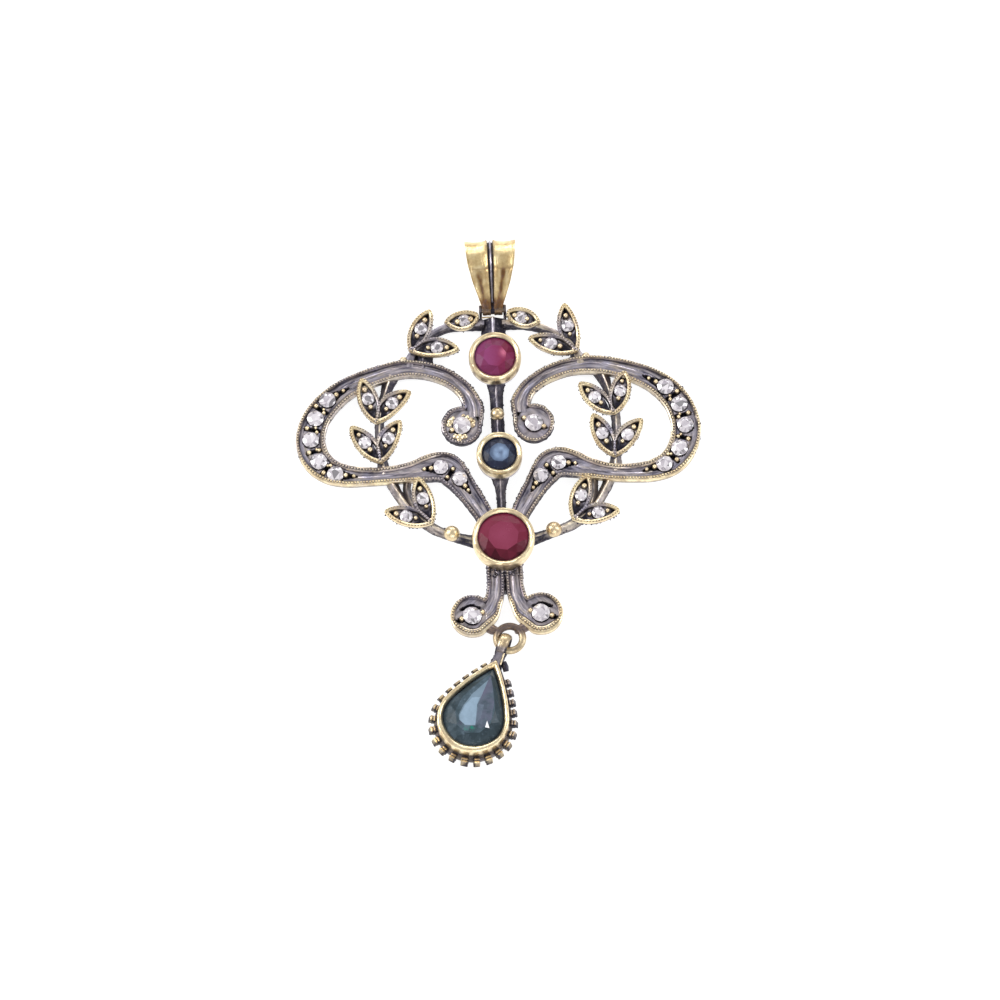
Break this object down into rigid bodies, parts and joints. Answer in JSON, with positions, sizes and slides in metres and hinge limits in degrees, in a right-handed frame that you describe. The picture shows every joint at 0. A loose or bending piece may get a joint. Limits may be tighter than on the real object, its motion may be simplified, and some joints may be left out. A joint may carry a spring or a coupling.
{
  "type": "gemstone pendant",
  "caption": "Openwork pendant of scrolls and leaf sprays with round collet-set stones, small diamonds, a turning bail and a pear-shaped drop.",
  "frame": {"origin": "on the surface it lies on, under the middle of the pendant's outline, drop and bail included", "axes": "+Y from the drop towards the bail, +Z out of the face, +X to the wearer's left"},
  "size_m": [0.0406, 0.0556, 0.0043],
  "materials": {
    "darkened_silver": "darkened silver with worn gold edges",
    "gold": "worn polished yellow gold",
    "ruby_pink": "faceted, polished",
    "ruby_red": "faceted, polished",
    "sapphire_blue": "faceted, polished",
    "sapphire_teal": "faceted, polished",
    "diamond": "faceted, polished"
  },
  "bodies": {
    "pendant": {"frame": "darkened_silver", "drop_setting": "gold", "ruby_top": "ruby_pink", "sapphire": "sapphire_blue", "ruby_main": "ruby_red", "drop_stone": "sapphire_teal", "diamond_left_eye": "diamond", "diamond_left_scroll_1": "diamond", "diamond_left_scroll_2": "diamond", "diamond_left_scroll_3": "diamond", "diamond_left_scroll_4": "diamond", "diamond_left_scroll_5": "diamond", "diamond_left_arm_1": "diamond", "diamond_left_arm_2": "diamond", "diamond_left_foot": "diamond", "diamond_left_leaf_1": "diamond", "diamond_left_leaf_2": "diamond", "diamond_left_leaf_3": "diamond", "diamond_left_leaf_4": "diamond", "diamond_left_leaf_5": "diamond", "diamond_left_leaf_6": "diamond", "diamond_left_leaf_7": "diamond", "diamond_left_leaf_8": "diamond", "diamond_left_leaf_9": "diamond", "diamond_right_eye": "diamond", "diamond_right_scroll_1": "diamond", "diamond_right_scroll_2": "diamond", "diamond_right_scroll_3": "diamond", "diamond_right_scroll_4": "diamond", "diamond_right_scroll_5": "diamond", "diamond_right_arm_1": "diamond", "diamond_right_arm_2": "diamond", "diamond_right_foot": "diamond", "diamond_right_leaf_1": "diamond", "diamond_right_leaf_2": "diamond", "diamond_right_leaf_3": "diamond", "diamond_right_leaf_4": "diamond", "diamond_right_leaf_5": "diamond", "diamond_right_leaf_6": "diamond", "diamond_right_leaf_7": "diamond", "diamond_right_leaf_8": "diamond", "diamond_right_leaf_9": "diamond"},
    "bail": {"bail": "gold"}
  },
  "joints": [
    {"name": "bail_swing", "type": "hinge", "parent": "pendant", "child": "bail", "pos_m": [0, 0.02066, 0.0015], "axis": [1, 0, 0], "range_deg": [0, 104]}
  ]
}
